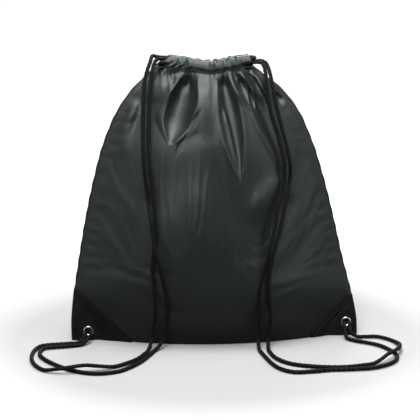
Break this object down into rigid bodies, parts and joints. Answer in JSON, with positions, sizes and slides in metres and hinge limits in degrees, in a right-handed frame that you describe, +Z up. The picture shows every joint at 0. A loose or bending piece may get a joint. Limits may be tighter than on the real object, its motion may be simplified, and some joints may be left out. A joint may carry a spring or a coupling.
{
  "type": "drawstring backpack",
  "caption": "Soft drawstring backpack with a gathered mouth, braided cord shoulder straps through a hem channel, and reinforced bottom corners with metal eyelets.",
  "frame": {"origin": "centre of the base on the ground plane, under the line where the two panels meet", "axes": "+Z up, strap side (worn against the back) faces -Y, +X to the right of someone facing the strap side"},
  "size_m": [0.443, 0.2212, 0.3485],
  "materials": {
    "bag_fabric": "satin",
    "patch": "satin",
    "cord": "matte",
    "thread": "matte",
    "eyelet_metal": "polished"
  },
  "bodies": {
    "root": {"rear_panel": "bag_fabric", "rear_hem_channel": "bag_fabric", "rear_hem_stitching": "thread", "left_side_seam": "thread", "right_side_seam": "thread", "bottom_seam": "thread", "left_rear_corner_patch": "patch", "left_front_corner_patch": "patch", "right_rear_corner_patch": "patch", "right_front_corner_patch": "patch", "left_rear_patch_stitching": "thread", "left_front_patch_stitching": "thread", "right_rear_patch_stitching": "thread", "right_front_patch_stitching": "thread", "left_eyelet": "eyelet_metal", "left_eyelet_washer": "eyelet_metal", "right_eyelet": "eyelet_metal", "right_eyelet_washer": "eyelet_metal", "left_knot": "cord", "right_knot": "cord"},
    "front_side": {"front_panel": "bag_fabric", "front_hem_channel": "bag_fabric", "front_hem_stitching": "thread"},
    "left_cord": {"left_cord_rear_run": "cord"},
    "right_cord": {"right_cord_rear_run": "cord"},
    "left_cord_front": {"left_cord_front_run": "cord"},
    "right_cord_front": {"right_cord_front_run": "cord"},
    "left_strap": {"left_strap_rear_strand": "cord", "left_strap_front_strand": "cord"},
    "right_strap": {"right_strap_rear_strand": "cord", "right_strap_front_strand": "cord"}
  },
  "joints": [
    {"name": "mouth_open", "type": "hinge", "parent": "root", "child": "front_side", "pos_m": [0, 0.032, 0], "axis": [-1, 0, 0], "range_deg": [0, 4]},
    {"name": "left_cord_draw", "type": "slide", "parent": "root", "child": "left_cord", "axis": [1, 0, 0], "range_m": [0, 0.004]},
    {"name": "left_cord_front_draw", "type": "slide", "parent": "front_side", "child": "left_cord_front", "axis": [1, 0, 0], "range_m": [0, 0.004]},
    {"name": "right_cord_draw", "type": "slide", "parent": "root", "child": "right_cord", "axis": [-1, 0, 0], "range_m": [0, 0.004]},
    {"name": "right_cord_front_draw", "type": "slide", "parent": "front_side", "child": "right_cord_front", "axis": [-1, 0, 0], "range_m": [0, 0.004]},
    {"name": "left_strap_swing", "type": "hinge", "parent": "root", "child": "left_strap", "pos_m": [-0.1625, -0.0068, 0.0117], "axis": [-0.2737, -0.0537, -0.9603], "range_deg": [0, 35]},
    {"name": "right_strap_swing", "type": "hinge", "parent": "root", "child": "right_strap", "pos_m": [0.1665, -0.0068, 0.0172], "axis": [-0.3356, 0.0544, 0.9404], "range_deg": [0, 35]}
  ],
  "couplings": [
    {"joint": "left_cord_draw", "follows": "mouth_open", "m_per_rad": 0.0572},
    {"joint": "left_cord_front_draw", "follows": "mouth_open", "m_per_rad": 0.0572},
    {"joint": "right_cord_draw", "follows": "mouth_open", "m_per_rad": 0.0572},
    {"joint": "right_cord_front_draw", "follows": "mouth_open", "m_per_rad": 0.0572}
  ]
}
